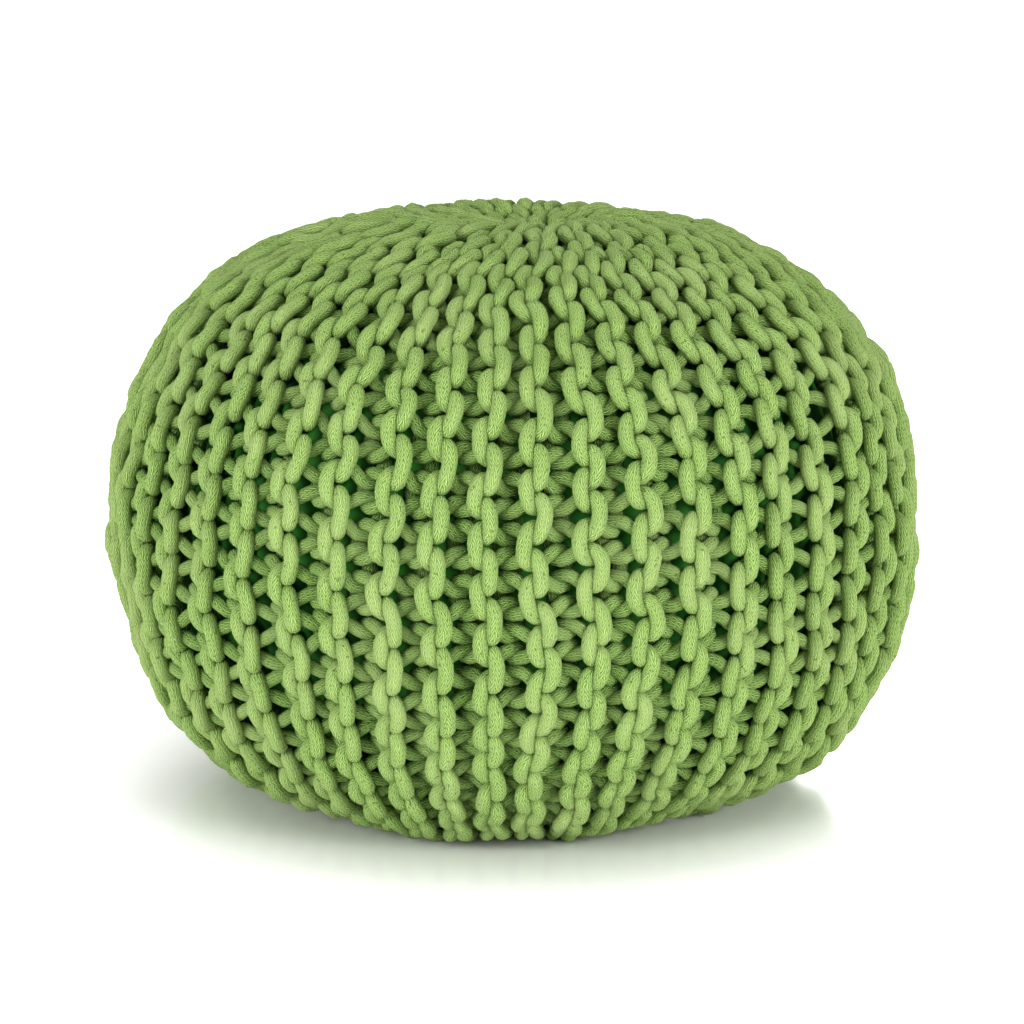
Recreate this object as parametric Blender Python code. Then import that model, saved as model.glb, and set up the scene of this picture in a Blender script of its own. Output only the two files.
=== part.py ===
"""Round knitted floor pouf: a ribbed cord cover over a filled inner bag.

The cover is knitted sideways in thick cotton cord, so its rows run from the gather on top,
down the side, to the middle of the base. Each pair of rows stands out as one rib. Some ribs
are short rows that end before the gather, which lets the rest close up round it.

Metres, +Z up. The origin is on the floor under the middle of the pouf, and the front is -Y.
"""

import math

import bmesh
import bpy
import numpy

# Driving dimensions
WIDTH = 0.503  # across the ribs at the widest place
WIDEST_HEIGHT = 0.162  # of the widest place above the floor
CROWN_RISE = 0.194  # from the widest place to the top of the crown
BELLY_DROP = 0.165  # from the widest place down to where the belly would close

# How full the outline is, as powers of the sine and cosine of its turn from the top
CROWN_SPREAD, CROWN_SLOPE = 0.735, 0.833
BELLY_SPREAD, BELLY_SLOPE = 0.365, 1.139

CORD = 0.009  # thickness of the cotton cord
RIBS = 48
RIB_DEPTH = 0.0085  # from a rib's crest to the valley beside it, at the widest place
RIB_DEPTH_PER_PITCH = 0.27  # where ribs crowd together the valleys are shallower
RIB_UNEVENNESS = 0.05  # share by which a rib's width strays
SIDE_STRETCH = 0.10  # ribs are this much wider at the sides and narrower at the front
STRAY_TURN = 2.4  # radians from one rib's stray to the next, so that none repeat

# The knit is three cords thick, and its loops sink into each other
COVER_THICKNESS = 2.5 * CORD
SEAT_GAP = 0.0003  # between the cover and the bag inside it

GATHER_SHIFT = 0.022  # the gather was pulled this far to the right of the middle
SHIFT_FADE = 3.0  # how fast the ribs come back to an even round away from it
GATHER_DEPTH = 0.005  # how far it sinks below the crown
GATHER_REACH = 0.030  # radius of the dip round it
GATHER_HOLE = 0.012  # diameter of the hole that the drawn-in loops leave
GATHER_HOLE_SIDES = 16

# Short rows: how far from the gather a rib ends, for each of the four ribs in a wedge
WEDGE_ENDS = (0.0, 0.088, 0.035, 0.088)
TAPER = 0.060  # length over which a short rib narrows to its end
END_STRAY = 0.008  # how far those ends stray from wedge to wedge
NARROWEST_RIB = 0.0045  # a rib thinner than this has ended

CROWN_LENGTH = 0.150  # of finer rings, from the gather outwards
CROWN_RINGS = 10
SIDE_RINGS = 15
FOOT = 0.026  # length of the rib feet that lie on the floor round the flat base
POINTS_PER_RIB = 4
BAG_COLUMNS = 48
BAG_RINGS = 18
PROFILE_SAMPLES = 4000
FLAT = 1e-6  # heights below this lie on the floor

CORD_GREEN = (0.305, 0.515, 0.130, 1.0)
BAG_GREEN = (0.060, 0.262, 0.035, 1.0)


def clear_scene():
    for thing in list(bpy.data.objects):
        bpy.data.objects.remove(thing, do_unlink=True)


def collection(name):
    made = bpy.data.collections.new(name)
    bpy.context.scene.collection.children.link(made)
    return made


def matte(name, colour, roughness):
    material = bpy.data.materials.new(name)
    material.use_nodes = True
    shader = material.node_tree.nodes["Principled BSDF"]
    shader.inputs["Base Color"].default_value = colour
    shader.inputs["Roughness"].default_value = roughness
    shader.inputs["Metallic"].default_value = 0.0
    material.diffuse_color = colour
    return material


def smooth_step(share):
    share = min(max(share, 0.0), 1.0)
    return share * share * (3.0 - 2.0 * share)


def profile_samples():
    """Radius, height and arc length of the outline that the crests reach, from the top down."""
    turn = numpy.linspace(0.0, math.pi, PROFILE_SAMPLES)
    crown = turn <= math.pi / 2.0
    spread = numpy.where(crown, CROWN_SPREAD, BELLY_SPREAD)
    slope = numpy.where(crown, CROWN_SLOPE, BELLY_SLOPE)
    rise = numpy.where(crown, CROWN_RISE, -BELLY_DROP)
    radius = WIDTH / 2.0 * numpy.sin(turn).clip(0.0) ** spread
    height = WIDEST_HEIGHT + rise * numpy.abs(numpy.cos(turn)) ** slope
    steps = numpy.hypot(numpy.diff(radius), numpy.diff(height))
    return radius, height, numpy.concatenate(([0.0], numpy.cumsum(steps)))


RADIUS, HEIGHT, ARC = profile_samples()
LENGTH = float(ARC[-1])
FLOOR_ARC = float(ARC[HEIGHT > 0.0][-1])  # where the outline meets the floor


def on_profile(arc):
    """Radius, height and outward direction of the outline at an arc length from the top."""
    step = LENGTH / PROFILE_SAMPLES
    radius = float(numpy.interp(arc, ARC, RADIUS))
    height = float(numpy.interp(arc, ARC, HEIGHT))
    before, after = numpy.interp((arc - step, arc + step), ARC, RADIUS)
    above, below = numpy.interp((arc - step, arc + step), ARC, HEIGHT)
    size = math.hypot(after - before, below - above)
    return radius, height, ((above - below) / size, (after - before) / size)


def rib_end(rib):
    """How far from the gather a rib stops, or 0 for a rib that reaches it."""
    wedge, place_in_wedge = divmod(rib, len(WEDGE_ENDS))
    end = WEDGE_ENDS[place_in_wedge]
    return end + END_STRAY * math.sin(STRAY_TURN * wedge) if end else 0.0


def rib_widths(arc):
    """Angle that each rib takes at this arc length. A short rib tapers to nothing."""
    widths = []
    for rib in range(RIBS):
        around = math.tau * (rib + 0.5) / RIBS
        width = 1.0 - SIDE_STRETCH * math.cos(2.0 * around)
        width += RIB_UNEVENNESS * math.sin(STRAY_TURN * rib)
        end = rib_end(rib)
        widths.append(width * smooth_step((arc - end) / TAPER) if end else width)
    return [math.tau * width / sum(widths) for width in widths]


def gather_dip(radius):
    return GATHER_DEPTH * math.exp(-((radius / GATHER_REACH) ** 2))


def place(radius, height, angle):
    """A point of the pouf. The angle runs from the front to the right."""
    shift = 0.0
    if height > WIDEST_HEIGHT:
        shift = GATHER_SHIFT * (1.0 - min(2.0 * radius / WIDTH, 1.0)) ** SHIFT_FADE
        height -= gather_dip(radius)
    return radius * math.sin(angle) + shift, -radius * math.cos(angle), max(height, 0.0)


def ball(columns, rings):
    """A closed ball, with its points as {(column, ring): vertex} from the top down."""
    mesh = bmesh.new()
    bmesh.ops.create_uvsphere(mesh, u_segments=columns, v_segments=rings, radius=1.0)
    grid = {}
    for vertex in mesh.verts:
        ring = round(math.acos(min(max(vertex.co.z, -1.0), 1.0)) / math.pi * rings)
        turn = math.atan2(vertex.co.y, vertex.co.x) / math.tau * columns
        column = 0 if ring in (0, rings) else round(turn) % columns
        grid[column, ring] = vertex
    return mesh, grid


def to_object(name, mesh, home, material=None):
    data = bpy.data.meshes.new(name)
    mesh.to_mesh(data)
    mesh.free()
    data.shade_smooth()
    if material:
        data.materials.append(material)
    made = bpy.data.objects.new(name, data)
    home.objects.link(made)
    return made


def ring_arcs():
    """Arc length of each ring of the skin: fine on the crown, even down the side to the
    floor, and one more where the feet of the ribs end and the base is flat."""
    crown = [CROWN_LENGTH * ring / CROWN_RINGS for ring in range(1, CROWN_RINGS)]
    side = numpy.linspace(CROWN_LENGTH, FLOOR_ARC, SIDE_RINGS)
    return [*crown, *side, FLOOR_ARC + FOOT]


def ribbed_skin():
    """The outside of the cover: each rib is a raised strip four points wide. Where a short
    rib has ended, its points are welded into one in the valley between its neighbours."""
    arcs = ring_arcs()
    mesh, grid = ball(RIBS * POINTS_PER_RIB, len(arcs) + 1)
    ended = {}
    for ring, arc in enumerate(arcs, start=1):
        radius, height, (out, up) = on_profile(arc)
        flat = arc > FLOOR_ARC
        angle = 0.0
        kept = None
        for rib, width in enumerate(rib_widths(arc)):
            pitch = width * radius
            depth = 0.0 if flat else min(RIB_DEPTH, RIB_DEPTH_PER_PITCH * pitch)
            if pitch >= NARROWEST_RIB:
                kept = None
            for point in range(POINTS_PER_RIB):
                in_valley = point in (0, POINTS_PER_RIB - 1)
                sink = depth if in_valley or pitch < NARROWEST_RIB else 0.0
                share = (point + 0.5) / POINTS_PER_RIB
                vertex = grid[rib * POINTS_PER_RIB + point, ring]
                vertex.co = place(radius - sink * out, height - sink * up, angle + share * width)
                if pitch < NARROWEST_RIB and kept:
                    ended[vertex] = kept
                elif pitch < NARROWEST_RIB:
                    kept = vertex
            angle += width
    grid[0, 0].co = place(0.0, HEIGHT[0], 0.0)
    grid[0, len(arcs) + 1].co = (0.0, 0.0, 0.0)
    bmesh.ops.weld_verts(mesh, targetmap=ended)
    base = [face for face in mesh.faces if all(corner.co.z < FLAT for corner in face.verts)]
    bmesh.ops.dissolve_faces(mesh, faces=base)
    bmesh.ops.recalc_face_normals(mesh, faces=mesh.faces)
    return mesh


def bag_shape(inset):
    """The smooth round of the bag, drawn in from the crests of the ribs by the inset."""
    mesh, grid = ball(BAG_COLUMNS, BAG_RINGS)
    for (column, ring), vertex in grid.items():
        radius, height, (out, up) = on_profile(LENGTH * ring / BAG_RINGS)
        radius = 0.0 if ring in (0, BAG_RINGS) else max(radius - inset * out, 0.0)
        height = max(height - inset * up, inset)
        vertex.co = place(radius, height, math.tau * column / BAG_COLUMNS)
    bmesh.ops.recalc_face_normals(mesh, faces=mesh.faces)
    return mesh


def cut(target, cutter):
    modifier = target.modifiers.new("cut " + cutter.name, "BOOLEAN")
    modifier.operation = "DIFFERENCE"
    modifier.object = cutter
    cutter.hide_render = True
    cutter.display_type = "WIRE"


def gather_hole():
    mesh = bmesh.new()
    bmesh.ops.create_cone(
        mesh,
        cap_ends=True,
        segments=GATHER_HOLE_SIDES,
        radius1=GATHER_HOLE / 2.0,
        radius2=GATHER_HOLE / 2.0,
        depth=4.0 * COVER_THICKNESS,
    )
    return mesh


def knitted_cover(home, cutters):
    green = matte("braided cotton cord", CORD_GREEN, 0.9)
    cover = to_object("knitted_cover", ribbed_skin(), home, green)
    cut(cover, to_object("space for the bag", bag_shape(COVER_THICKNESS), cutters))
    hole = to_object("hole in the gather", gather_hole(), cutters)
    hole.location = place(0.0, HEIGHT[0], 0.0)
    cut(cover, hole)


def inner_bag(home):
    cloth = matte("woven cotton bag cloth", BAG_GREEN, 0.8)
    to_object("inner_bag", bag_shape(COVER_THICKNESS + SEAT_GAP), home, cloth)


def main():
    clear_scene()
    home = collection("round knitted pouf")
    cutters = collection("cutters")
    knitted_cover(home, cutters)
    inner_bag(home)


main()
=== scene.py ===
"""Round knitted floor pouf: the looks.

The cover is knitted cord by cord. Its rows run from the gather on top, down the side, to the
middle of the base, and the loops of each row pass through the loops of the row before it. The
filled bag shows as a smoother green in the gaps.
"""

import math

import bmesh
import bpy
import numpy as np
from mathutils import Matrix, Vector, noise
from mathutils.kdtree import KDTree


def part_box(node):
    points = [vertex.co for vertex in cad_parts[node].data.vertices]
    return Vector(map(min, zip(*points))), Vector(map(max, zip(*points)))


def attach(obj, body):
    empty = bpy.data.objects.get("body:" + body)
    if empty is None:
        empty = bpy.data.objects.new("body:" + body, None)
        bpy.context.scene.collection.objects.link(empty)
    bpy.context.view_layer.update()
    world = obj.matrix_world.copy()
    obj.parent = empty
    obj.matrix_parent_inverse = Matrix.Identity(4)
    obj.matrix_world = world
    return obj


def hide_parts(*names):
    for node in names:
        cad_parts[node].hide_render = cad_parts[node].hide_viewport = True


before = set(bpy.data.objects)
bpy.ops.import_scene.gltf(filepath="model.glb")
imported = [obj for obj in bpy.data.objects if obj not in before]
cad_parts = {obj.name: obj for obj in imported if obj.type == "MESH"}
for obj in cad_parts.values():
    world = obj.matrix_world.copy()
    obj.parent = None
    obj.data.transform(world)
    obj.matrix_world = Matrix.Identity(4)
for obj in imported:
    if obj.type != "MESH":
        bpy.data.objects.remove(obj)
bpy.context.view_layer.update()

bl_info = {
    "name": "Knitted pouf",
    "version": (1, 0, 0),
    "blender": (4, 5, 0),
    "location": "View3D > Sidebar > Pouf",
    "description": "Knits a round pouf cover from one thick cord and fills it with a bag",
    "category": "Add Mesh",
}

COVER_LOW, COVER_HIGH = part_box("knitted_cover")
WIDTH = COVER_HIGH[0] - COVER_LOW[0]
MM = 0.001
SEED = 3


class PoufShape(bpy.types.PropertyGroup):
    """Outline of the filled pouf"""

    width: bpy.props.FloatProperty(
        name="Width",
        description="Across the ribs at the widest place",
        default=WIDTH,
        unit="LENGTH",
    )
    widest_height: bpy.props.FloatProperty(
        name="Widest height",
        description="Height of the widest place above the floor",
        default=0.162,
        unit="LENGTH",
    )
    crown_rise: bpy.props.FloatProperty(
        name="Crown rise",
        description="From the widest place to the top of the crown",
        default=0.194,
        unit="LENGTH",
    )
    belly_drop: bpy.props.FloatProperty(
        name="Belly drop",
        description="From the widest place down to where the belly would close",
        default=0.165,
        unit="LENGTH",
    )
    crown_spread: bpy.props.FloatProperty(
        name="Crown spread", description="Power of the sine over the crown", default=0.735
    )
    crown_slope: bpy.props.FloatProperty(
        name="Crown slope", description="Power of the cosine over the crown", default=0.833
    )
    belly_spread: bpy.props.FloatProperty(
        name="Belly spread", description="Power of the sine under the belly", default=0.365
    )
    belly_slope: bpy.props.FloatProperty(
        name="Belly slope", description="Power of the cosine under the belly", default=1.139
    )
    gather_shift: bpy.props.FloatProperty(
        name="Gather shift",
        description="How far the gather was pulled to the right of the middle",
        default=0.022,
        unit="LENGTH",
    )
    gather_depth: bpy.props.FloatProperty(
        name="Gather depth",
        description="How far the gather sinks into the crown",
        default=0.011,
        unit="LENGTH",
    )


class PoufKnit(bpy.types.PropertyGroup):
    """The cord and how it is knitted"""

    cord: bpy.props.FloatProperty(
        name="Cord", description="Thickness of the cotton cord", default=0.009, unit="LENGTH"
    )
    ribs: bpy.props.IntProperty(
        name="Ribs", description="Ribs round the pouf, two rows of knitting each", default=48
    )
    stitch: bpy.props.FloatProperty(
        name="Stitch",
        description="Mean length of a stitch along its row, from gather to base",
        default=0.0286,
        unit="LENGTH",
    )
    stagger: bpy.props.FloatProperty(
        name="Stagger",
        description="How far a rib's two strands of arcs lie to each side of its middle",
        default=0.0040,
        unit="LENGTH",
    )
    leg_depth: bpy.props.FloatProperty(
        name="Leg depth",
        description="Depth of the crossing legs below the crests, cord middle to cord middle",
        default=0.0068,
        unit="LENGTH",
    )
    back_depth: bpy.props.FloatProperty(
        name="Back depth",
        description="Depth of the arcs at the back below the crests",
        default=0.0162,
        unit="LENGTH",
    )
    leg_thinness: bpy.props.FloatProperty(
        name="Leg thinness",
        description="Share by which the stretched legs are thinner than the arcs",
        default=0.12,
        subtype="FACTOR",
    )
    pieces: bpy.props.IntProperty(
        name="Pieces", description="Meshes that the rows are shared out over", default=6
    )


class PoufColours(bpy.types.PropertyGroup):
    """Finishes"""

    cord: bpy.props.StringProperty(
        name="Cord", description="Dyed cotton of the cord, sRGB hex", default="B5D17F"
    )
    cord_faded: bpy.props.StringProperty(
        name="Faded cord", description="Where less dye has taken, sRGB hex", default="BDD18E"
    )
    # Painted shade: the deep green painted between the strands, on the crossing legs and on the
    # back arcs
    cord_painted_shade: bpy.props.StringProperty(
        name="Cord depth", description="Cotton between the strands, sRGB hex", default="3E781E"
    )
    husk: bpy.props.StringProperty(
        name="Husk", description="Undyed flecks of husk in the cotton, sRGB hex", default="56702C"
    )
    bag: bpy.props.StringProperty(
        name="Bag cloth", description="Woven cloth of the bag, sRGB hex", default="26701C"
    )
    bag_light: bpy.props.StringProperty(
        name="Light bag cloth", description="Where it is rubbed, sRGB hex", default="358A28"
    )
    floor: bpy.props.StringProperty(
        name="Floor", description="Plain pale floor, sRGB hex", default="F7F7F7"
    )


class PoufStage(bpy.types.PropertyGroup):
    """Camera and light"""

    elevation: bpy.props.FloatProperty(
        name="Elevation",
        description="Of the camera above the pouf's widest place",
        default=math.radians(12.0),
        subtype="ANGLE",
    )
    distance: bpy.props.FloatProperty(
        name="Distance", description="Of the camera", default=2.0, unit="LENGTH"
    )
    lens: bpy.props.FloatProperty(
        name="Lens", description="Focal length on a 36 mm sensor, in mm", default=112.7
    )
    softbox: bpy.props.FloatProperty(
        name="Softboxes",
        description="Power of the lights in watts, before each softbox takes its own share",
        default=22.0,
    )
    world: bpy.props.FloatProperty(
        name="Room light", description="Strength of the even light all round", default=0.48
    )


def linear(hex_colour):
    """An sRGB hex colour as the linear RGBA that Blender's sockets take."""
    channels = [int(hex_colour[at : at + 2], 16) / 255.0 for at in (0, 2, 4)]
    return (*(c / 12.92 if c <= 0.04045 else ((c + 0.055) / 1.055) ** 2.4 for c in channels), 1.0)


def smooth_step(share):
    share = np.clip(share, 0.0, 1.0)
    return share * share * (3.0 - 2.0 * share)


GRAIN = 8  # decimals of a metre that a place is rounded to, so that every run knits the same


def lengths(vectors):
    """Length of each vector, summed term by term so that every run gives the same."""
    x, y, z = vectors[:, 0], vectors[:, 1], vectors[:, 2]
    return np.sqrt(x * x + y * y + z * z)


# Short rows: how far from the gather a rib ends, for each of the four ribs in a wedge
WEDGE_ENDS = (0.0, 0.088, 0.035, 0.088)
END_STRAY = 0.008  # how far those ends stray from wedge to wedge
TAPER = 0.060  # length over which a short rib narrows to its end
SIDE_STRETCH = 0.10  # ribs are this much wider at the sides and narrower at the front
RIB_UNEVENNESS = 0.05  # share by which a rib's width strays
STRAY_TURN = 2.4  # radians from one rib's stray to the next, so that none repeat
SHIFT_FADE = 3.0  # how fast the ribs come back to an even round away from the gather
GATHER_REACH = 0.050  # radius of the dip round the gather
PROFILE_SAMPLES = 4000
SMOOTHED_OVER = 61  # samples that the outline's outward direction is averaged over


class Outline:
    """The pouf's outline and the ribs on it, as the solids have them but for a deeper gather."""

    def __init__(self, shape, ribs):
        self.shape = shape
        self.ribs = ribs
        turn = np.linspace(0.0, math.pi, PROFILE_SAMPLES)
        crown = turn <= math.pi / 2.0
        spread = np.where(crown, shape.crown_spread, shape.belly_spread)
        slope = np.where(crown, shape.crown_slope, shape.belly_slope)
        rise = np.where(crown, shape.crown_rise, -shape.belly_drop)
        self.radius = shape.width / 2.0 * np.sin(turn).clip(0.0) ** spread
        height = shape.widest_height + rise * np.abs(np.cos(turn)) ** slope
        self.height = np.maximum(height, 0.0)
        steps = np.hypot(np.diff(self.radius), np.diff(self.height))
        self.arc = np.concatenate(([0.0], np.cumsum(steps)))
        self.length = float(self.arc[-1])
        out = -np.gradient(self.height, self.arc)
        up = np.gradient(self.radius, self.arc)
        window = np.hanning(SMOOTHED_OVER) / np.hanning(SMOOTHED_OVER).sum()
        pad = SMOOTHED_OVER // 2
        self.out = np.convolve(np.pad(out, pad, mode="edge"), window, mode="valid")
        self.up = np.convolve(np.pad(up, pad, mode="edge"), window, mode="valid")
        self.stations = self.station_angles()

    def rib_end(self, rib):
        wedge, place_in_wedge = divmod(rib, len(WEDGE_ENDS))
        end = WEDGE_ENDS[place_in_wedge]
        return end + END_STRAY * math.sin(STRAY_TURN * wedge) if end else 0.0

    def station_angles(self):
        """Angle of each rib's edge and middle at each sample of the outline: a row's loops
        start at one station and end at the next."""
        widths = np.empty((self.ribs, PROFILE_SAMPLES))
        for rib in range(self.ribs):
            around = math.tau * (rib + 0.5) / self.ribs
            width = 1.0 - SIDE_STRETCH * math.cos(2.0 * around)
            width += RIB_UNEVENNESS * math.sin(STRAY_TURN * rib)
            end = self.rib_end(rib)
            share = 1.0
            if end:
                share = smooth_step((self.arc - end) / TAPER)
                share = share * smooth_step((self.length - end - self.arc) / TAPER)
            widths[rib] = width * share
        widths *= math.tau / widths.sum(axis=0)
        edges = np.vstack((np.zeros(PROFILE_SAMPLES), np.cumsum(widths, axis=0)))
        middles = (edges[:-1] + edges[1:]) / 2.0
        stations = np.empty((2 * self.ribs + 1, PROFILE_SAMPLES))
        stations[0::2] = edges
        stations[1::2] = middles
        return stations

    def station(self, index, arc):
        return np.interp(arc, self.arc, self.stations[index])

    def spread(self, arc):
        """Distance from the pouf's axis."""
        return np.interp(arc, self.arc, self.radius)

    def points(self, arc, angle, depth):
        """Points at a depth below the crests. The angle runs from the front to the right."""
        radius = np.interp(arc, self.arc, self.radius)
        height = np.interp(arc, self.arc, self.height)
        out = np.interp(arc, self.arc, self.out)
        up = np.interp(arc, self.arc, self.up)
        share = 1.0 - np.minimum(2.0 * radius / self.shape.width, 1.0)
        crown = height > self.shape.widest_height
        shift = np.where(crown, self.shape.gather_shift * share**SHIFT_FADE, 0.0)
        dip = self.shape.gather_depth * np.exp(-((radius / GATHER_REACH) ** 2))
        radius = radius - depth * out
        height = height - depth * up - np.where(crown, dip, 0.0)
        x = radius * np.sin(angle) + shift
        return np.round(np.stack((x, -radius * np.cos(angle), height), axis=-1), GRAIN)


# Half a loop, from the middle of the arc that joins two stitches to the middle of its head.
# Each point: share of the way to the next station, staggers to that side, place along the row
# from the loop's middle in stitches, and level from the back (-1) through the legs to the
# front (+1).
HALF_LOOP = (
    (0.0, -1.40, 0.500, -0.95),
    (0.0, -1.10, 0.365, -0.85),
    (0.0, -0.40, 0.235, -0.55),
    (0.0, 0.60, 0.150, -0.25),
    (0.0, 1.50, 0.135, 0.00),
    (0.5, 0.00, 0.205, 0.00),
    (1.0, -1.35, 0.315, 0.00),
    (1.0, -0.50, 0.350, 0.40),
    (1.0, 0.45, 0.320, 0.80),
    (1.0, 1.10, 0.200, 1.00),
    (1.0, 1.45, 0.000, 1.00),
)
LEAN = 0.7  # staggers that an arc leans over in one stitch: the cord's twist tilts the knit


def whole_loop():
    """The knots of one whole loop. Its second half mirrors the first along the row."""
    half = np.array(HALF_LOOP)
    first = half * (1.0, 1.0, -1.0, 1.0)
    loop = np.vstack((first, half[-2:0:-1]))
    share, place = loop[:, 0], loop[:, 2]
    loop[:, 1] -= LEAN * (place - 0.5 * np.sign(place) * (1.0 - share))
    return loop


def spline(knots, steps):
    """Points of a smooth curve through the knots."""
    padded = np.vstack((2.0 * knots[0] - knots[1], knots, 2.0 * knots[-1] - knots[-2]))
    share = (np.arange(steps) / steps)[:, None, None]
    a, b, c, d = padded[:-3], padded[1:-2], padded[2:-1], padded[3:]
    curve = 0.5 * (
        2.0 * b
        + (c - a) * share
        + (2.0 * a - 5.0 * b + 4.0 * c - d) * share * share
        + (3.0 * b - a - 3.0 * c + d) * share * share * share
    )
    return np.vstack((curve.transpose(1, 0, 2).reshape(-1, knots.shape[1]), knots[-1:]))


FEWEST_STEPS = 4  # that a length of cord is divided into


def evenly(cord, spacing, front=0.0):
    """The same cord with its points about one spacing apart. Each point is x, y, z, level. The
    points lie closer on the arcs in front and further apart at the back by the share in front."""
    steps = lengths(np.diff(cord[:, :3], axis=0))
    steps *= 1.0 + front * (cord[:-1, 3] + cord[1:, 3]) / 2.0
    arc = np.concatenate(([0.0], np.cumsum(steps)))
    count = max(int(round(arc[-1] / spacing)), FEWEST_STEPS)
    wanted = np.linspace(0.0, arc[-1], count + 1)
    return np.round(np.stack([np.interp(wanted, arc, column) for column in cord.T], axis=1), GRAIN)


# Drawn tight, every other rib that reaches the gather tucks under its neighbours
TUCKED_EVERY = 2 * len(WEDGE_ENDS)
TUCK = 0.0085  # how much deeper it goes in the middle of the gather
TUCK_REACH = 0.040  # from there to where it comes up again
FIRST_STITCH = 0.38  # its distance from the middle of the gather, in stitches
CROWN_STRETCH = 0.18  # share by which the stitches are longer at the gather, shorter at the base
GATHER_CLEAR = 0.004  # nearest that a knot comes to the middle of the gather
LEAST_RADIUS = 0.006  # distance from the axis below which a row gets no narrower
MOST_STAGGER = 0.40  # of the room between two stations, where the ribs crowd together
SHORT_FOOT = 0.35 * TAPER  # on the base, a short rib ends this far beyond its own end
BASE_CLEAR = 0.0165  # and the other ribs end this far from the middle


def stitch_place(outline, knit, stitch):
    """Arc length at which a stitch starts."""
    share = (stitch + FIRST_STITCH) * knit.stitch / outline.length
    return outline.length * (share + CROWN_STRETCH * share * (1.0 - share))


def row_knots(outline, knit, row, first, last):
    """Knots of one row's cord, from stitch first to stitch last, before it settles."""
    loop = whole_loop()
    front = 1.0 if row % 2 == 0 else -1.0
    arcs, angles, levels = [], [], []
    for stitch in range(first, last):
        start = stitch_place(outline, knit, stitch)
        pitch = stitch_place(outline, knit, stitch + 1) - start
        arc = np.clip(start + pitch * (0.5 + loop[:, 2]), GATHER_CLEAR, outline.length)
        here = outline.station(row, arc)
        radius = np.maximum(outline.spread(arc), LEAST_RADIUS)
        room = (outline.station(row + 1, arc) - here) * radius
        stagger = np.minimum(knit.stagger, MOST_STAGGER * room)
        across = loop[:, 0] * room + loop[:, 1] * stagger
        arcs.append(arc)
        angles.append(here + across / radius)
        levels.append(loop[:, 3] * front)
    levels = np.concatenate(levels)
    arcs = np.concatenate(arcs)
    depths = np.interp(levels, (-1.0, 0.0, 1.0), (knit.back_depth, knit.leg_depth, 0.0))
    if row // 2 % TUCKED_EVERY == TUCKED_EVERY // 2:
        depths += TUCK * (1.0 - smooth_step(arcs / TUCK_REACH))
    points = outline.points(arcs, np.concatenate(angles), depths + knit.cord / 2.0)
    return np.column_stack((points, levels))


def row_span(outline, knit, rib):
    """First and last stitch of a rib's rows. Short rows leave out the stitches at both ends."""
    end = outline.rib_end(rib)
    foot = end + SHORT_FOOT if end else BASE_CLEAR
    most = int(outline.length / knit.stitch)
    starts = [stitch_place(outline, knit, stitch) for stitch in range(most + 1)]
    first = next(i for i, start in enumerate(starts) if start >= end)
    last = next(i for i, start in enumerate(starts) if start > outline.length - foot)
    return first, last


SETTLE_STEP = 0.0030  # between the points of a cord while it settles
SETTLE_CURVE = 6  # steps of the curve from knot to knot before that


def rib_cord(outline, knit, rib):
    """One rib is one length of cord: up to the gather, round the turn and back down."""
    first, last = row_span(outline, knit, rib)
    up = row_knots(outline, knit, 2 * rib, first, last)
    down = row_knots(outline, knit, 2 * rib + 1, first, last)
    return evenly(spline(np.vstack((up[::-1], down)), SETTLE_CURVE), SETTLE_STEP)


SQUEEZE = 0.78  # share of a thickness that is left where two cords press on each other
NEAR = 1.1  # thicknesses within which two points of the cords are set against each other
SAME_STRETCH = 7  # points along one cord that are neighbours and can't press on each other
PUSHES = 20  # before the touching pairs are looked up again
PUSH = 0.22  # share of an overlap that one push takes from each side
UNBEND = 0.10  # share of a bend that the cord's stiffness takes out with each push
PULL = 0.25  # share of a stretch that the cord takes back at each end
HOLD = 0.06  # share of the way back to its rest that the knit holds a point
TINY = 1e-6  # metres: the least distance that anything is divided by


def half_thickness(cord, knit):
    """Half the cord's thickness at each point: the stretched legs are thinner."""
    return knit.cord / 2.0 * (1.0 - knit.leg_thinness * (1.0 - cord[:, 3] ** 2))


def touching(points, cord_of, reach, skip):
    """Pairs of points that lie near each other and aren't next to each other on one cord."""
    tree = KDTree(len(points))
    for index, point in enumerate(points):
        tree.insert(point, index)
    tree.balance()
    pairs = [
        (index, other)
        for index, point in enumerate(points)
        for _, other, _ in tree.find_range(point, reach)
        if other > index + (skip if cord_of[other] == cord_of[index] else 0)
    ]
    return np.array(pairs).T


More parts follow.
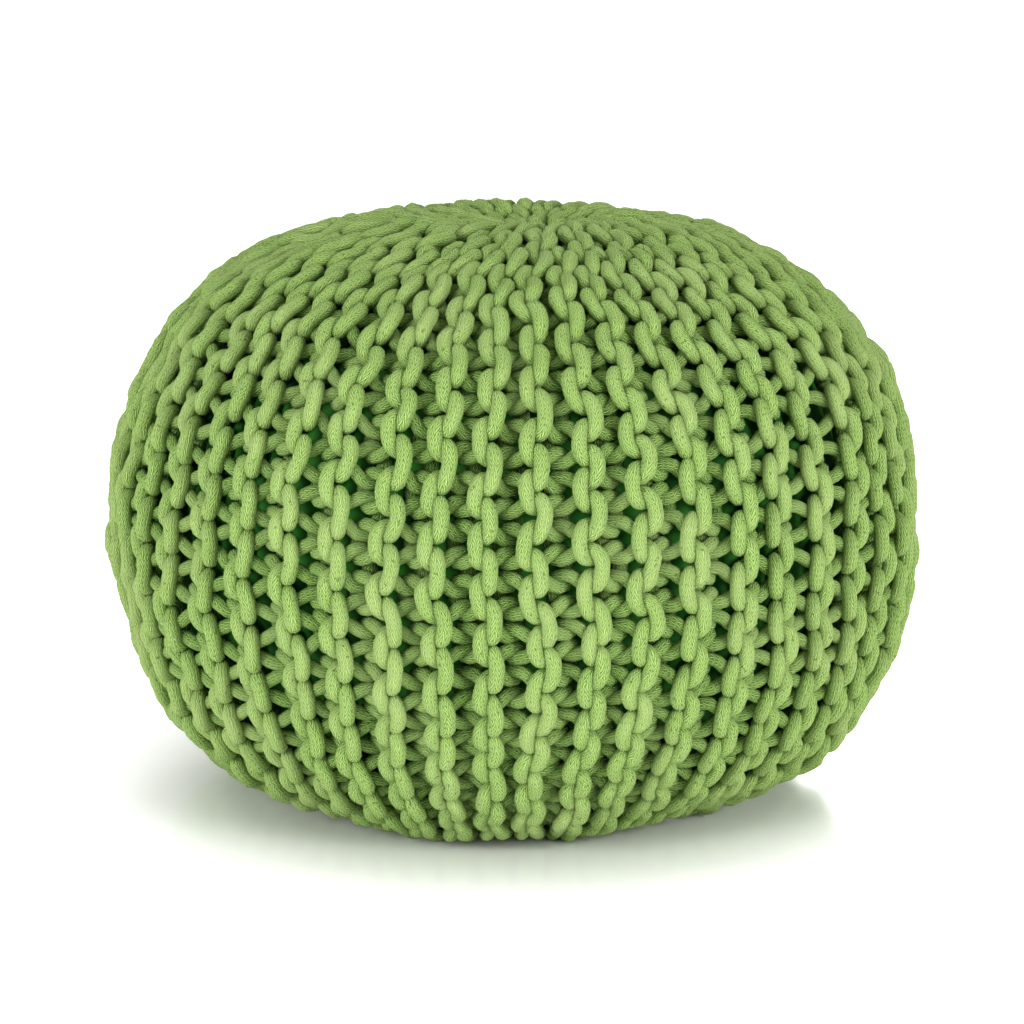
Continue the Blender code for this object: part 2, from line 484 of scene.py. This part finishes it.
def settle(cords, knit, rounds):
    """Lets touching cords push each other apart until they lie side by side, as the filling
    stretches the knit and pulls each loop tight on its neighbours."""
    cords = [np.array(cord) for cord in cords]
    points = np.vstack([cord[:, :3] for cord in cords])
    half = np.concatenate([half_thickness(cord, knit) for cord in cords])
    cord_of = np.repeat(np.arange(len(cords)), [len(cord) for cord in cords])
    rest = points.copy()
    inside = (cord_of[1:-1] == cord_of[:-2]) & (cord_of[1:-1] == cord_of[2:])
    middle = np.flatnonzero(inside) + 1
    linked = np.flatnonzero(cord_of[1:] == cord_of[:-1])
    steps = lengths(points[linked + 1] - points[linked])
    for _ in range(rounds):
        one, two = touching(points, cord_of, NEAR * knit.cord, SAME_STRETCH)
        apart = SQUEEZE * (half[one] + half[two])
        for _ in range(PUSHES):
            gap = points[two] - points[one]
            size = lengths(gap)
            push = PUSH * np.maximum(apart - size, 0.0) / np.maximum(size, TINY)
            shove = gap * push[:, None]
            for axis in range(3):
                points[:, axis] += np.bincount(two, shove[:, axis], len(points))
                points[:, axis] -= np.bincount(one, shove[:, axis], len(points))
            bend = (points[middle - 1] + points[middle + 1]) / 2.0 - points[middle]
            points[middle] += UNBEND * bend
            step = points[linked + 1] - points[linked]
            pull = step * (PULL * (1.0 - steps / np.maximum(lengths(step), TINY)))[:, None]
            points[linked] += pull
            points[linked + 1] -= pull
            points += HOLD * (rest - points)
            points[:, 2] = np.maximum(points[:, 2], half)
            points = np.round(points, GRAIN)
    ends = np.cumsum([len(cord) for cord in cords])[:-1]
    for cord, settled in zip(cords, np.split(points, ends)):
        cord[:, :3] = settled
    return cords


# How far the cords stray, the distance over which neighbours stray together, and a place in the
# noise to start from: whole ribs first, and then single stitches
STRAYS = ((0.0060, 0.110, (0.0, 0.0, 3.0)), (0.0042, 0.032, (5.0, 0.0, 0.0)))


def stray(cords, amount, reach, offset):
    """Moves the cords a little, neighbours together, so that no two stitches are the same."""
    moved = []
    for cord in cords:
        places = [Vector(point) / reach + Vector(offset) for point in cord[:, :3]]
        moves = [noise.noise_vector(place) for place in places]
        cord = np.array(cord)
        cord[:, :3] = np.round(cord[:, :3] + amount * np.array(moves), GRAIN)
        moved.append(cord)
    return moved


def sweep(path, radius, sides, girth):
    """Corners, faces and (along, around) coordinates in metres of a cord along a path."""
    ahead = np.gradient(path, axis=0)
    ahead /= lengths(ahead)[:, None]
    side = np.empty_like(path)
    side[0] = np.cross(ahead[0], (0.0, 0.0, 1.0))
    side[0] /= np.linalg.norm(side[0])
    for index in range(1, len(path)):
        turned = side[index - 1] - ahead[index] * np.dot(side[index - 1], ahead[index])
        side[index] = turned / np.linalg.norm(turned)
    other = np.cross(ahead, side)
    turn = np.arange(sides) * math.tau / sides
    ring = side[:, None] * np.cos(turn)[:, None] + other[:, None] * np.sin(turn)[:, None]
    corners = (path[:, None] + ring * radius[:, None, None]).reshape(-1, 3)
    along = np.concatenate(([0.0], np.cumsum(lengths(np.diff(path, axis=0)))))
    at = np.arange(len(path) - 1)[:, None] * sides
    here = np.arange(sides)[None]
    after = (here + 1) % sides
    faces = np.stack((at + here, at + after, at + sides + after, at + sides + here), axis=-1)
    around = here * girth / sides
    lower, upper, near, far = np.broadcast_arrays(
        along[:-1, None], along[1:, None], around, around + girth / sides
    )
    marks = np.stack((lower, near, lower, far, upper, far, upper, near), axis=-1)
    return corners, faces.reshape(-1, 4), marks.reshape(-1, 4, 2)


CORD_SIDES = 9
CORD_CURVE = 4  # steps of the curve from point to point of a settled cord
CORD_STEP = 0.0034  # between the rings of a cord
FRONT_CLOSER = 0.45  # share by which the rings are closer on the arcs in front
THICKNESS_STRAY = 0.02  # share by which the cord's thickness varies
END_LEFT = 0.6  # share of the thickness that is left at a cord's ends


def cord_mesh(name, cords, knit, chance):
    """One mesh of several cords, each closed at its ends and mapped along its length."""
    corners, faces, marks, crests = [], [], [], []
    count = 0
    for cord in cords:
        radius = half_thickness(cord, knit)
        radius *= 1.0 + THICKNESS_STRAY * chance.normal(size=len(cord))
        radius[[0, -1]] *= END_LEFT
        some, quads, places = sweep(cord[:, :3], radius, CORD_SIDES, math.pi * knit.cord)
        places[..., 0] += chance.uniform(0.0, 1.0)
        corners.append(some)
        faces.append(quads + count)
        marks.append(places)
        crests.append(np.repeat(cord[:, 3], CORD_SIDES))
        count += len(some)
    data = bpy.data.meshes.new(name)
    corners = np.vstack(corners)
    corners[:, 2] = np.maximum(corners[:, 2], 0.0)
    faces = np.vstack(faces)
    data.vertices.add(len(corners))
    data.vertices.foreach_set("co", corners.ravel())
    data.loops.add(faces.size)
    data.loops.foreach_set("vertex_index", faces.ravel())
    data.polygons.add(len(faces))
    data.polygons.foreach_set("loop_start", np.arange(0, faces.size, faces.shape[1]))
    data.polygons.foreach_set("use_smooth", np.ones(len(faces), dtype=bool))
    layer = data.uv_layers.new(name="cord")
    layer.data.foreach_set("uv", np.vstack(marks).ravel().astype(np.float32))
    # The level from the back to the front, which the cord's material uses to paint shade
    crest = data.attributes.new("crest", "FLOAT", "POINT")
    crest.data.foreach_set("value", np.concatenate(crests).astype(np.float32))
    data.update(calc_edges=True)
    capped = bmesh.new()
    capped.from_mesh(data)
    ends = [edge for edge in capped.edges if edge.is_boundary]
    bmesh.ops.holes_fill(capped, edges=ends, sides=CORD_SIDES)
    capped.to_mesh(data)
    capped.free()
    data.validate()
    return data


def add_node(tree, kind, inputs, out=0, **settings):
    """Adds a node with its settings and links, and gives one of its outputs."""
    made = tree.nodes.new("ShaderNode" + kind)
    for name, value in settings.items():
        setattr(made, name, value)
    for key, value in inputs.items():
        if isinstance(value, bpy.types.NodeSocket):
            tree.links.new(value, made.inputs[key])
        else:
            made.inputs[key].default_value = value
    return made.outputs[out]


def new_material(name):
    material = bpy.data.materials.new(name)
    material.use_nodes = True
    tree = material.node_tree
    return material, tree, tree.nodes["Principled BSDF"]


BRAID_COLUMNS = 14  # columns of slanting strands round the cord
STRAND = 1.1 * MM  # thickness of one strand of the braid
BRAID_ANGLE = math.radians(24.0)  # between the strands and the cord
BRAID_WANDER = 1.6 * MM  # how far the strands wander from their place
WANDERS = 0.25 / MM  # they wander out and back over about 4 mm
BRAID_RELIEF = 1.2 * MM  # from a strand's crest to the gap beside it
FIBRE = 0.7 * MM  # loose fibres, drawn coarser than they are so that they show
FIBRE_RELIEF, FIBRE_TONE = 0.6, 1.1  # of the fibres, where the braid's own is 1
VALLEY_PAINTED_SHADE = 0.45  # painted shade: how much paler the crests are than the legs and back arcs, same measure
DYE_PATCHES = 0.02 / MM  # the dye changes over about 50 mm
HUSK_FLECKS = 0.45 / MM  # flecks of husk could lie about 2 mm apart, and few of them show
FACTOR, COLOUR_A, COLOUR_B, COLOUR = 0, 6, 7, 2  # sockets of a Mix node for colours


def braided_cotton(colours, cord):
    """Braided cotton cord. Its soft strands cross the cord in columns that slant left and right
    by turns, with dark gaps between them, and loose fibres give it a matte, dusty edge. The
    crests of the ribs are rubbed paler, and the cord in the valleys keeps its full green."""
    material, tree, shader = new_material("braided cotton cord")
    column = math.pi * cord / BRAID_COLUMNS
    place = add_node(tree, "UVMap", {}, uv_map="cord")
    body = add_node(tree, "TexCoord", {}, out="Object")

    # The strands wander a little, so that the braid isn't drawn with a ruler
    wander = add_node(
        tree, "TexNoise", {"Vector": body, "Scale": WANDERS, "Detail": 1.0}, out="Color"
    )
    shifted = add_node(
        tree,
        "VectorMath",
        {0: wander, 1: (BRAID_WANDER, BRAID_WANDER, 0.0), 2: place},
        operation="MULTIPLY_ADD",
    )
    along = add_node(tree, "SeparateXYZ", {0: shifted}, out="X")
    around = add_node(tree, "SeparateXYZ", {0: shifted}, out="Y")

    # Slanted strands: the slant turns round from column to column
    zigzag = add_node(tree, "Math", {0: around, 1: column}, operation="PINGPONG")
    across = add_node(
        tree, "Math", {0: zigzag, 1: math.cos(BRAID_ANGLE) / STRAND}, operation="MULTIPLY"
    )
    phase = add_node(
        tree,
        "Math",
        {0: along, 1: math.sin(BRAID_ANGLE) / STRAND, 2: across},
        operation="MULTIPLY_ADD",
    )
    ridge = add_node(tree, "Math", {0: phase, 1: 0.5}, operation="PINGPONG")
    strand = add_node(
        tree,
        "MapRange",
        {"Value": ridge, "From Min": 0.02, "From Max": 0.34},
        interpolation_type="SMOOTHSTEP",
    )
    # A strand dives under its neighbours at the edges of its column
    inward = add_node(tree, "Math", {0: around, 1: column / 2.0}, operation="PINGPONG")
    dive = add_node(
        tree,
        "MapRange",
        {"Value": inward, "From Max": 0.3 * column, "To Min": 0.45},
        interpolation_type="SMOOTHSTEP",
    )
    braid = add_node(tree, "Math", {0: strand, 1: dive}, operation="MULTIPLY")

    # Loose fibres roughen the strands
    fibres = add_node(tree, "TexNoise", {"Vector": body, "Scale": 1.0 / FIBRE, "Detail": 3.0})
    relief = add_node(
        tree, "Math", {0: fibres, 1: FIBRE_RELIEF, 2: braid}, operation="MULTIPLY_ADD"
    )
    bump = add_node(tree, "Bump", {"Height": relief, "Distance": BRAID_RELIEF}, out="Normal")
    tree.links.new(bump, shader.inputs["Normal"])

    # Painted shade over the dye: pale on strands and crests, deep green in the gaps, legs and back
    tone = add_node(tree, "Math", {0: fibres, 1: FIBRE_TONE, 2: braid}, operation="MULTIPLY_ADD")
    # Painted shade: the cord's level, from the back through the legs to the front, darkens legs
    # and back arcs
    crest = add_node(tree, "Attribute", {}, out="Fac", attribute_name="crest")
    height = add_node(tree, "MapRange", {"Value": crest, "From Min": -0.6, "From Max": 0.7})
    lightened = add_node(tree, "Math", {0: height, 1: VALLEY_PAINTED_SHADE, 2: tone}, operation="MULTIPLY_ADD")
    shade = add_node(tree, "MapRange", {"Value": lightened, "From Min": 0.83, "From Max": 1.70})
    coloured = add_node(
        tree,
        "Mix",
        {FACTOR: shade, COLOUR_A: linear(colours.cord_painted_shade), COLOUR_B: linear(colours.cord)},
        out=COLOUR,
        data_type="RGBA",
    )
    # It has taken unevenly from one stretch of cord to the next
    patch = add_node(tree, "TexNoise", {"Vector": body, "Scale": DYE_PATCHES, "Detail": 2.0})
    faded = add_node(
        tree, "MapRange", {"Value": patch, "From Min": 0.45, "From Max": 0.75, "To Max": 0.5}
    )
    uneven = add_node(
        tree,
        "Mix",
        {FACTOR: faded, COLOUR_A: coloured, COLOUR_B: linear(colours.cord_faded)},
        out=COLOUR,
        data_type="RGBA",
    )
    # Flecks of husk are left in the cotton
    speck = add_node(tree, "TexNoise", {"Vector": body, "Scale": HUSK_FLECKS, "Detail": 1.0})
    flecked = add_node(
        tree, "MapRange", {"Value": speck, "From Min": 0.67, "From Max": 0.74, "To Max": 0.7}
    )
    coat = add_node(
        tree,
        "Mix",
        {FACTOR: flecked, COLOUR_A: uneven, COLOUR_B: linear(colours.husk)},
        out=COLOUR,
        data_type="RGBA",
    )
    tree.links.new(coat, shader.inputs["Base Color"])
    shader.inputs["Roughness"].default_value = 0.95
    shader.inputs["Specular IOR Level"].default_value = 0.25
    shader.inputs["Sheen Weight"].default_value = 0.25
    shader.inputs["Sheen Roughness"].default_value = 0.6
    shader.inputs["Sheen Tint"].default_value = linear(colours.cord_faded)
    return material


THREAD = 1.0 * MM  # of the bag cloth, drawn coarser than it is so that it shows
WEAVE_RELIEF = 0.1 * MM  # from a thread's crest to the gap beside it
RUBBED_PATCHES = 0.04 / MM  # the rubbed places are about 25 mm across


def woven_cotton(colours):
    """Plain woven cotton of the bag: flat and smooth beside the cord, in a deeper green, with
    a faint grid of threads."""
    material, tree, shader = new_material("woven cotton bag cloth")
    place = add_node(tree, "UVMap", {}, uv_map="cloth")
    threads = []
    for direction in ("X", "Y"):
        side = add_node(tree, "SeparateXYZ", {0: place}, out=direction)
        turn = add_node(tree, "Math", {0: side, 1: math.tau / THREAD}, operation="MULTIPLY")
        threads.append(add_node(tree, "Math", {0: turn}, operation="SINE"))
    grid = add_node(tree, "Math", {0: threads[0], 1: threads[1]}, operation="MULTIPLY")
    bump = add_node(tree, "Bump", {"Height": grid, "Distance": WEAVE_RELIEF}, out="Normal")
    tree.links.new(bump, shader.inputs["Normal"])
    body = add_node(tree, "TexCoord", {}, out="Object")
    patch = add_node(tree, "TexNoise", {"Vector": body, "Scale": RUBBED_PATCHES})
    coloured = add_node(
        tree,
        "Mix",
        {FACTOR: patch, COLOUR_A: linear(colours.bag), COLOUR_B: linear(colours.bag_light)},
        out=COLOUR,
        data_type="RGBA",
    )
    tree.links.new(coloured, shader.inputs["Base Color"])
    shader.inputs["Roughness"].default_value = 0.8
    shader.inputs["Sheen Weight"].default_value = 0.1
    return material


WHITE = (1.0, 1.0, 1.0, 1.0)
MOTTLES = 3.0  # in a metre of the floor's gloss
GLOW = 0.54  # strength of the floor's painted glow away from the pouf; the floor is no lamp
GLOW_STARTS, GLOW_FULL = 0.17, 0.33  # distance from the pouf's middle; nearer, the glow fades out and paints a soft shadow


def painted_floor(colours):
    """Satin white paint, with just enough gloss for a faint reflection. It glows a little away
    from the pouf, where a studio lights its backdrop, and takes a soft shadow beside it."""
    material, tree, shader = new_material("satin white paint")
    body = add_node(tree, "TexCoord", {}, out="Object")
    mottle = add_node(tree, "TexNoise", {"Vector": body, "Scale": MOTTLES, "Detail": 2.0})
    shine = add_node(tree, "MapRange", {"Value": mottle, "To Min": 0.16, "To Max": 0.22})
    tree.links.new(shine, shader.inputs["Roughness"])
    shader.inputs["Base Color"].default_value = linear(colours.floor)
    shader.inputs["Emission Color"].default_value = WHITE
    # Painted light and painted shadow: the floor glows away from the pouf, and the glow fades out
    # round its base
    away = add_node(tree, "VectorMath", {0: body}, out="Value", operation="LENGTH")
    glow = add_node(
        tree,
        "MapRange",
        {"Value": away, "From Min": GLOW_STARTS, "From Max": GLOW_FULL, "To Max": GLOW},
        interpolation_type="SMOOTHSTEP",
    )
    tree.links.new(glow, shader.inputs["Emission Strength"])
    return material


def link(made):
    bpy.context.scene.collection.objects.link(made)
    return made


FIRST_ROUNDS, LAST_ROUNDS = 3, 2  # of settling, before and after the cords stray


class POUF_OT_knit(bpy.types.Operator):
    """Knit the cover from one thick cord, row by row"""

    bl_idname = "pouf.knit"
    bl_label = "Knit the cover"

    def execute(self, context):
        scene = context.scene
        knit = scene.pouf_knit
        outline = Outline(scene.pouf_shape, knit.ribs)
        chance = np.random.default_rng(SEED)
        noise.seed_set(SEED)
        cords = [rib_cord(outline, knit, rib) for rib in range(knit.ribs)]
        cords = settle(cords, knit, FIRST_ROUNDS)
        for amount, reach, offset in STRAYS:
            cords = stray(cords, amount, reach, offset)
        cords = settle(cords, knit, LAST_ROUNDS)
        cotton = braided_cotton(scene.pouf_colours, knit.cord)
        share = math.ceil(len(cords) / knit.pieces)
        for piece in range(knit.pieces):
            some = [
                evenly(spline(cord, CORD_CURVE), CORD_STEP, FRONT_CLOSER)
                for cord in cords[piece * share : (piece + 1) * share]
            ]
            name = f"knitted_rows_{piece + 1}"
            data = cord_mesh(name, some, knit, chance)
            data.materials.append(cotton)
            made = link(bpy.data.objects.new(name, data))
            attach(made, "root")
            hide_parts("knitted_cover")
        return {"FINISHED"}


BAG_COLUMNS, BAG_RINGS = 96, 48
POLE = 1e-4  # share of the outline at each end that counts as its very tip


class POUF_OT_bag(bpy.types.Operator):
    """Make the filled bag that the cover is stretched over"""

    bl_idname = "pouf.bag"
    bl_label = "Fill the bag"

    def execute(self, context):
        scene = context.scene
        knit = scene.pouf_knit
        outline = Outline(scene.pouf_shape, knit.ribs)
        mesh = bmesh.new()
        bmesh.ops.create_uvsphere(mesh, u_segments=BAG_COLUMNS, v_segments=BAG_RINGS, radius=1.0)
        inset = knit.back_depth + knit.cord
        for vertex in mesh.verts:
            share = math.acos(min(max(vertex.co.z, -1.0), 1.0)) / math.pi
            angle = math.atan2(vertex.co.y, vertex.co.x)
            arc = np.array([share * outline.length])
            place = outline.points(arc, np.array([angle]), np.array([inset]))[0]
            if share < POLE or share > 1.0 - POLE:
                place[1] = 0.0
            vertex.co = place
        bmesh.ops.recalc_face_normals(mesh, faces=mesh.faces)
        # A face that lies across the seam takes all its angles from the same side of it
        cloth = mesh.loops.layers.uv.new("cloth")
        for face in mesh.faces:
            angles = [math.atan2(loop.vert.co.y, loop.vert.co.x) for loop in face.loops]
            for loop, angle in zip(face.loops, angles):
                if angle < angles[0] - math.pi:
                    angle += math.tau
                if angle > angles[0] + math.pi:
                    angle -= math.tau
                loop[cloth].uv = (angle * outline.shape.width / 2.0, loop.vert.co.z)
        data = bpy.data.meshes.new("bag")
        mesh.to_mesh(data)
        mesh.free()
        data.shade_smooth()
        data.materials.append(woven_cotton(scene.pouf_colours))
        made = link(bpy.data.objects.new("bag", data))
        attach(made, "root")
        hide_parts("inner_bag")
        return {"FINISHED"}


FLOOR_REACH = 40.0  # metres from the pouf, past all that the camera sees
LIT_HEIGHT = 0.15  # of the place that the softboxes face
# Each softbox's place, width and share of the power
SOFTBOXES = {
    "softbox on the left": ((-1.9, -2.0, 1.0), 1.1, 2.25),
    "softbox on the right": ((2.0, -1.9, 1.0), 1.1, 2.2),
    "softbox behind": ((0.3, 2.6, 1.0), 1.1, 1.4),
}
SENSOR = 36.0  # mm across
FRAME_WIDTH = 1024.0  # pixels of the photo's frame
SHIFT_RIGHT, SHIFT_UP = -1.0, 7.0  # pixels that bring the pouf to its place in that frame


class POUF_OT_stage(bpy.types.Operator):
    """Set the floor, the soft light and the camera"""

    bl_idname = "pouf.stage"
    bl_label = "Set the stage"

    def execute(self, context):
        scene = context.scene
        stage = scene.pouf_stage
        self.floor(scene)
        self.lights(scene, stage)
        self.camera(scene, stage)
        return {"FINISHED"}

    def floor(self, scene):
        mesh = bmesh.new()
        bmesh.ops.create_grid(mesh, x_segments=1, y_segments=1, size=FLOOR_REACH)
        data = bpy.data.meshes.new("floor")
        mesh.to_mesh(data)
        mesh.free()
        data.materials.append(painted_floor(scene.pouf_colours))
        floor = link(bpy.data.objects.new("floor", data))

    def lights(self, scene, stage):
        world = bpy.data.worlds.new("studio")
        world.use_nodes = True
        room = world.node_tree.nodes["Background"]
        room.inputs["Color"].default_value = WHITE
        room.inputs["Strength"].default_value = stage.world
        scene.world = world
        middle = Vector((0.0, 0.0, LIT_HEIGHT))
        for name, (place, size, share) in SOFTBOXES.items():
            data = bpy.data.lights.new(name, "AREA")
            data.shape = "SQUARE"
            data.size = size
            data.energy = stage.softbox * share
            lamp = link(bpy.data.objects.new(name, data))
            lamp.location = place
            lamp.rotation_euler = (middle - Vector(place)).to_track_quat("-Z", "Y").to_euler()

    def camera(self, scene, stage):
        data = bpy.data.cameras.new("camera")
        data.lens = stage.lens
        data.sensor_width = SENSOR
        data.shift_x = SHIFT_RIGHT / FRAME_WIDTH
        data.shift_y = SHIFT_UP / FRAME_WIDTH
        camera = link(bpy.data.objects.new("camera", data))
        target = Vector((0.0, 0.0, scene.pouf_shape.widest_height))
        back = Vector((0.0, -math.cos(stage.elevation), math.sin(stage.elevation)))
        camera.location = target + back * stage.distance
        camera.rotation_euler = (-back).to_track_quat("-Z", "Y").to_euler()
        scene.camera = camera
        scene.view_settings.view_transform = "Standard"
        scene.view_settings.look = "Medium High Contrast"


class POUF_PT_panel(bpy.types.Panel):
    """The pouf's sizes, colours and steps"""

    bl_idname = "POUF_PT_panel"
    bl_label = "Knitted pouf"
    bl_space_type = "VIEW_3D"
    bl_region_type = "UI"
    bl_category = "Pouf"

    def draw(self, context):
        layout = self.layout
        for operator in STEPS:
            layout.operator(operator.bl_idname)
        for group in GROUPS:
            column = layout.column(heading=group.__doc__)
            settings = getattr(context.scene, GROUPS[group])
            for name in group.__annotations__:
                column.prop(settings, name)


GROUPS = {
    PoufShape: "pouf_shape",
    PoufKnit: "pouf_knit",
    PoufColours: "pouf_colours",
    PoufStage: "pouf_stage",
}
STEPS = (POUF_OT_stage, POUF_OT_bag, POUF_OT_knit)


def register():
    for group, name in GROUPS.items():
        bpy.utils.register_class(group)
        setattr(bpy.types.Scene, name, bpy.props.PointerProperty(type=group))
    for step in (*STEPS, POUF_PT_panel):
        bpy.utils.register_class(step)


def unregister():
    for step in (POUF_PT_panel, *reversed(STEPS)):
        bpy.utils.unregister_class(step)
    for group, name in reversed(GROUPS.items()):
        delattr(bpy.types.Scene, name)
        bpy.utils.unregister_class(group)


def main():
    register()
    bpy.ops.pouf.stage()
    bpy.ops.pouf.bag()
    bpy.ops.pouf.knit()


if __name__ == "__main__":
    main()
